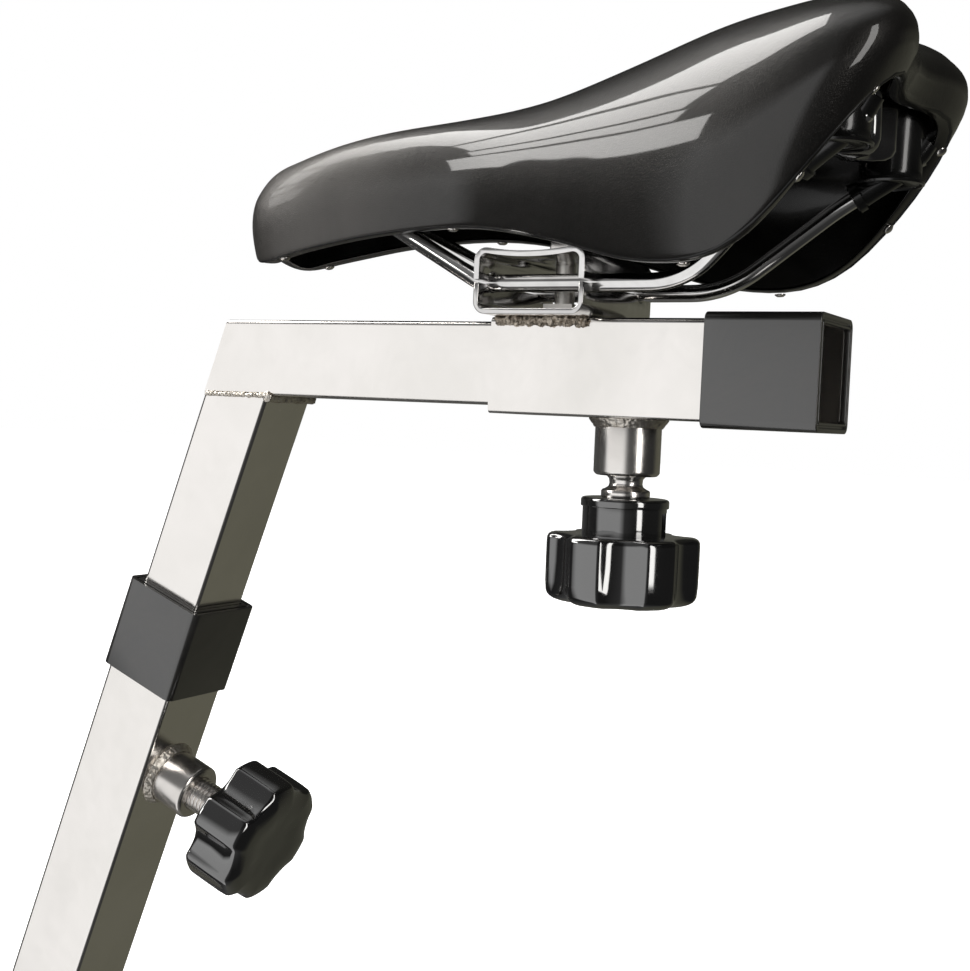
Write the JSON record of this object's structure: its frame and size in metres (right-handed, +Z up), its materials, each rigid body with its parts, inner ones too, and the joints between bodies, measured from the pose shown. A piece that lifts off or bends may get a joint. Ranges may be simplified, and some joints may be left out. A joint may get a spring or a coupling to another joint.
{
  "type": "exercise bike seat assembly",
  "caption": "Padded bike saddle on a rail clamp, fore-and-aft slider and L-shaped height post, with the top of the seat tube and two screw-knob locks.",
  "frame": {"origin": "centre of the seat tube's lower end, where it is cut level to be welded to the bike's frame", "axes": "+X to the back of the bike, +Y to the rider's right, +Z up; the seat tube leans back 20 degrees from +Z"},
  "size_m": [0.4693, 0.1456, 0.5666],
  "materials": {
    "polished_steel": "polished stainless tube",
    "turned_steel": "turned, bright",
    "weld": "dressed weld bead",
    "burnt_weld": "undressed brown weld bead",
    "chrome_plate": "chrome plated pressed plate",
    "chrome_rail": "chrome plated wire",
    "brass": "turned",
    "collar_plastic": "semi-gloss moulded",
    "knob_plastic": "glossy moulded",
    "shell_plastic": "glossy moulded",
    "foam": "closed polyurethane foam",
    "vinyl": "fine-grained vinyl",
    "rivet_steel": "domed rivets"
  },
  "bodies": {
    "frame": {"frame_tube": "polished_steel", "frame_collar": "collar_plastic", "height_boss": "polished_steel", "height_boss_weld": "weld"},
    "height_thrust_pad": {"height_pad": "brass"},
    "height_lock": {"height_screw": "turned_steel", "height_knob": "knob_plastic"},
    "post": {"post_leg": "polished_steel", "post_bar": "polished_steel", "post_cap": "polished_steel", "post_weld": "weld"},
    "slider": {"slider_tube": "polished_steel", "slider_collar": "collar_plastic", "slider_boss": "turned_steel", "slider_boss_weld": "weld", "clamp_cradle": "chrome_plate", "cradle_weld": "burnt_weld", "clamp_bridge": "chrome_plate", "clamp_bolt": "turned_steel", "clamp_washer": "turned_steel", "clamp_nut": "turned_steel"},
    "slider_thrust_pad": {"slider_pad": "brass"},
    "slider_lock": {"slider_screw": "turned_steel", "slider_lock_ring": "knob_plastic", "slider_knob_hub": "knob_plastic", "slider_knob": "knob_plastic"},
    "saddle": {"rail_left": "chrome_rail", "rail_right": "chrome_rail", "rail_sleeves": "shell_plastic", "saddle_shell": "shell_plastic", "nose_socket": "shell_plastic", "rear_sockets": "shell_plastic", "tail_bridge": "shell_plastic", "saddle_foam": "foam", "saddle_cover": "vinyl", "cover_rivets": "rivet_steel"}
  },
  "joints": [
    {"name": "post_height", "type": "slide", "parent": "frame", "child": "post", "axis": [0.342, 0, 0.9397], "range_m": [-0.09, 0.1]},
    {"name": "slider_reach", "type": "slide", "parent": "post", "child": "slider", "axis": [1, 0, 0], "range_m": [-0.08, 0.04]},
    {"name": "saddle_on_rails", "type": "slide", "parent": "slider", "child": "saddle", "axis": [1, 0, 0], "range_m": [-0.02, 0]},
    {"name": "height_screw_feed", "type": "slide", "parent": "frame", "child": "height_thrust_pad", "axis": [0.9397, 0, -0.342], "range_m": [0, 0.006]},
    {"name": "height_knob_turn", "type": "hinge", "parent": "height_thrust_pad", "child": "height_lock", "pos_m": [0.09111, 0, 0.25033], "axis": [-0.9397, 0, 0.342], "range_deg": [0, 1080]},
    {"name": "slider_screw_feed", "type": "slide", "parent": "slider", "child": "slider_thrust_pad", "axis": [0, 0, -1], "range_m": [0, 0.006]},
    {"name": "slider_knob_turn", "type": "hinge", "parent": "slider_thrust_pad", "child": "slider_lock", "pos_m": [0.33616, 0, 0.38], "axis": [0, 0, 1], "range_deg": [0, 1080]}
  ],
  "couplings": [
    {"joint": "height_knob_turn", "follows": "height_screw_feed", "rad_per_m": 3141.6},
    {"joint": "slider_knob_turn", "follows": "slider_screw_feed", "rad_per_m": 3141.6}
  ]
}
